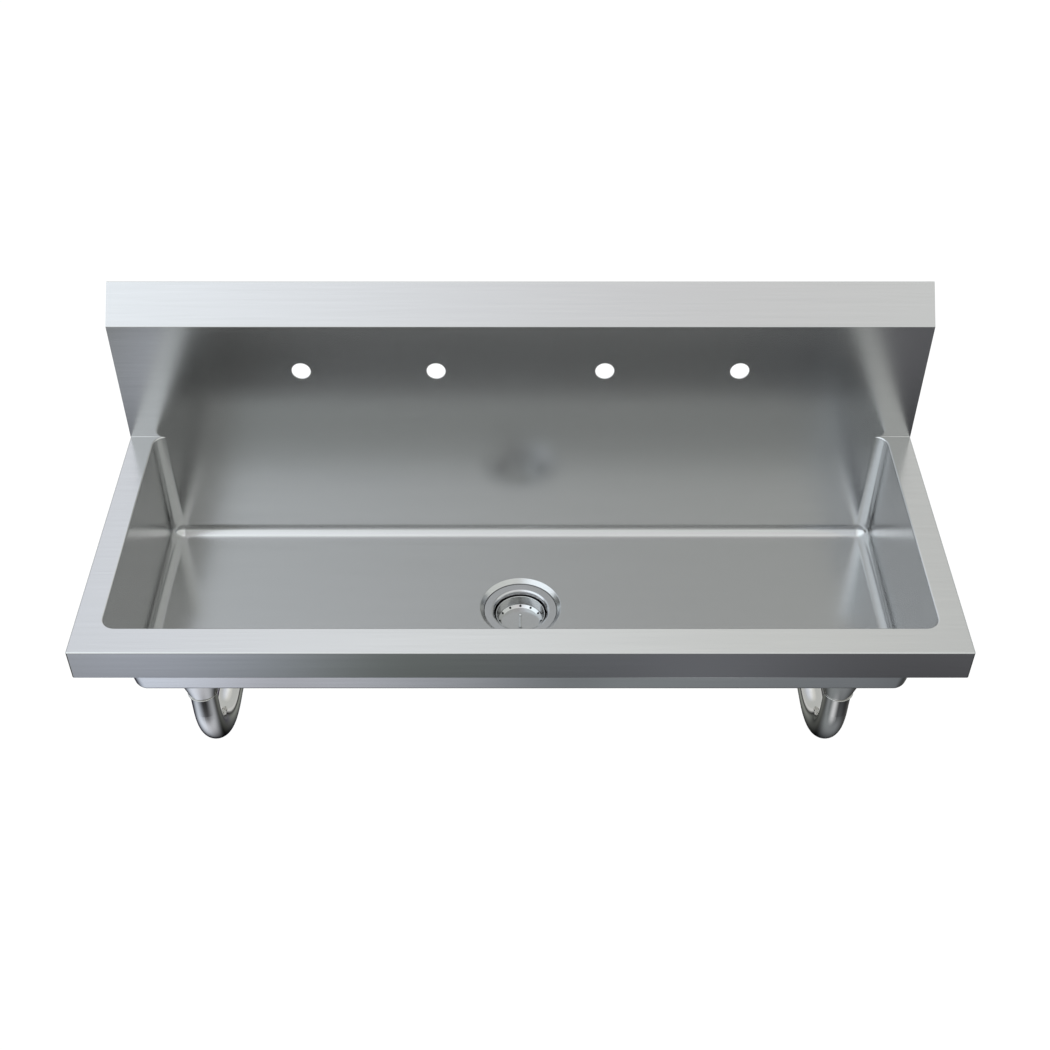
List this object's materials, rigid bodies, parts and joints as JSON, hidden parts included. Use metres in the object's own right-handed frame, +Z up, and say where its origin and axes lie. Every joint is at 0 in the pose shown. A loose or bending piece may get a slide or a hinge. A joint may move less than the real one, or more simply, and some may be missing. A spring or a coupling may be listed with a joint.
{
  "type": "trough sink",
  "caption": "Wall-hung stainless trough sink with a coved bowl, high faucet-drilled splash, basket strainer and tubular wall brackets.",
  "frame": {"origin": "on the wall plane, at the middle of the hanger rail's back face", "axes": "+X to the right along the wall as seen from the front, +Y into the wall, +Z up"},
  "size_m": [1.2192, 0.508, 0.7342],
  "materials": {
    "brushed_sheet": "brushed, long grain along the sink",
    "bracket_steel": "polished tube",
    "screw_steel": "plain",
    "strainer_steel": "satin, turned",
    "basket_steel": "bright pressed steel",
    "nut_metal": "nickel-plated",
    "black_rubber": "matt moulded rubber",
    "washer_card": "pressed fibre"
  },
  "bodies": {
    "sink": {"bowl": "brushed_sheet", "rim_deck": "brushed_sheet", "backsplash": "brushed_sheet", "splash_end_left": "brushed_sheet", "splash_end_right": "brushed_sheet", "wall_rail": "brushed_sheet", "strainer_body": "strainer_steel", "flange_seal": "black_rubber", "rubber_washer": "black_rubber", "friction_washer": "washer_card", "locknut": "nut_metal", "tailpiece_washer": "black_rubber", "tailpiece": "strainer_steel", "coupling_nut": "nut_metal", "gusset_plate_left": "brushed_sheet", "gusset_plate_right": "brushed_sheet", "gusset_left": "bracket_steel", "gusset_right": "bracket_steel", "bracket_tube_left": "bracket_steel", "bracket_tube_right": "bracket_steel", "wall_flange_left": "bracket_steel", "wall_flange_right": "bracket_steel", "gusset_set_screws": "screw_steel", "flange_set_screws": "screw_steel"},
    "basket": {"strainer_basket": "basket_steel", "basket_post": "basket_steel", "basket_stopper": "black_rubber", "stopper_washer": "basket_steel"}
  },
  "joints": [
    {"name": "basket_lift", "type": "slide", "parent": "sink", "child": "basket", "axis": [0, 0, 1], "range_m": [0, 0.07]}
  ]
}
